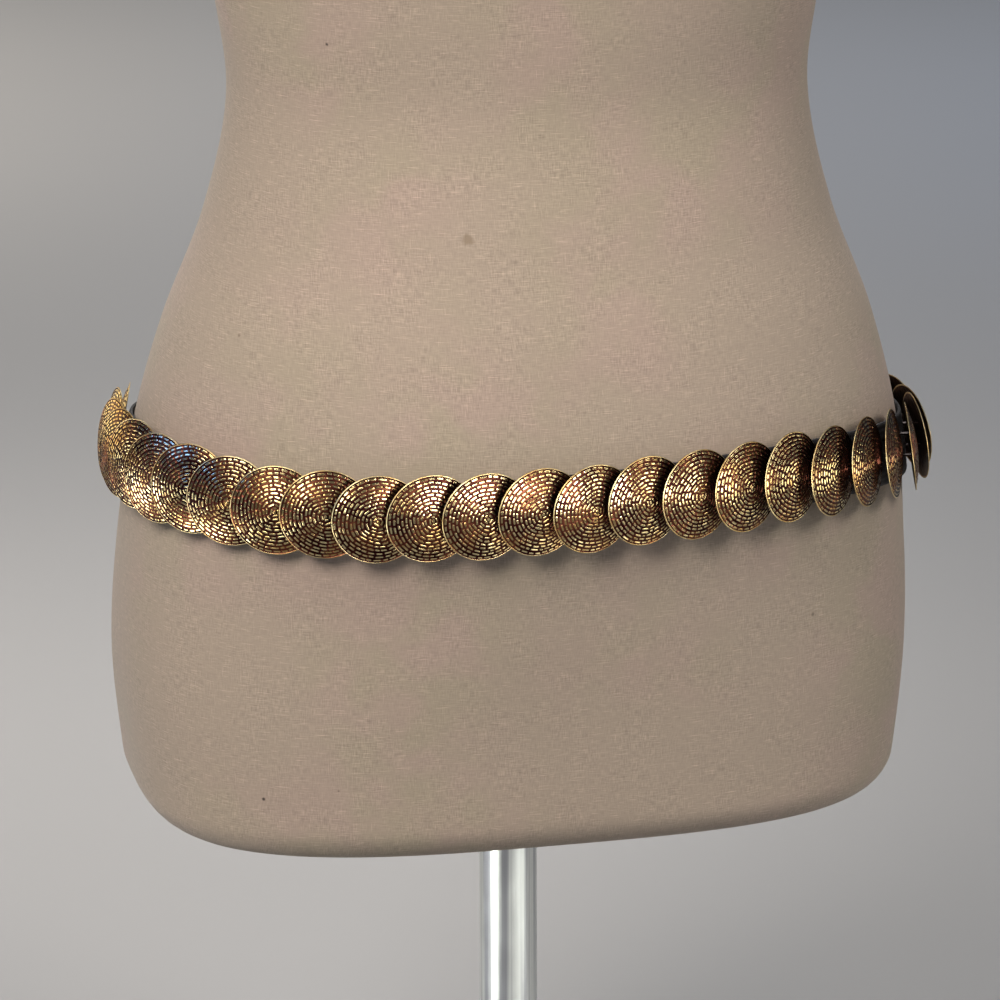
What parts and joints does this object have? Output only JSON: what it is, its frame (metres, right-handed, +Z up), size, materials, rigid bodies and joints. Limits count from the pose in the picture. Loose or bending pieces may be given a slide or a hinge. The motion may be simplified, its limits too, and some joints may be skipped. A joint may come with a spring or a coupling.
{
  "type": "coin belt on a dress form",
  "caption": "Hip belt of overlapping domed metal discs on a black stretch band, worn on a smooth padded dress form with a chrome pole and a round base.",
  "frame": {"origin": "centre of the base's underside, on the axis of the pole", "axes": "+Z up along the pole, the form's front faces -Y, and its left side is at +X"},
  "size_m": [0.38, 0.38, 1.1053],
  "materials": {
    "disc_metal": "antiqued gold tone, bright on the raised dashes and dark brown between them",
    "elastic": "black woven elastic, matt",
    "form_cover": "beige linen with slubs, stretched smooth, a few small marks",
    "neck_wood": "varnished, satin",
    "pole_chrome": "polished",
    "collar_chrome": "polished",
    "base_paint": "dark grey powder coat, semi-matt"
  },
  "bodies": {
    "root": {"stretch_band": "elastic", "disc_01": "disc_metal", "disc_02": "disc_metal", "disc_03": "disc_metal", "disc_04": "disc_metal", "disc_05": "disc_metal", "disc_06": "disc_metal", "disc_07": "disc_metal", "disc_08": "disc_metal", "disc_09": "disc_metal", "disc_10": "disc_metal", "disc_11": "disc_metal", "disc_12": "disc_metal", "disc_13": "disc_metal", "disc_14": "disc_metal", "disc_15": "disc_metal", "disc_16": "disc_metal", "disc_17": "disc_metal", "disc_18": "disc_metal", "disc_19": "disc_metal", "disc_20": "disc_metal", "disc_21": "disc_metal", "disc_22": "disc_metal", "disc_23": "disc_metal", "disc_24": "disc_metal", "disc_25": "disc_metal", "disc_26": "disc_metal", "disc_27": "disc_metal", "disc_28": "disc_metal", "disc_29": "disc_metal", "disc_30": "disc_metal", "disc_31": "disc_metal", "disc_32": "disc_metal", "disc_33": "disc_metal", "disc_34": "disc_metal", "disc_35": "disc_metal", "disc_36": "disc_metal", "disc_37": "disc_metal", "disc_38": "disc_metal", "disc_39": "disc_metal", "disc_40": "disc_metal", "disc_41": "disc_metal", "disc_42": "disc_metal", "disc_43": "disc_metal", "dress_form": "form_cover", "neck_cap": "neck_wood", "pole": "pole_chrome", "pole_collar": "collar_chrome", "base_plate": "base_paint"}
  },
  "joints": []
}
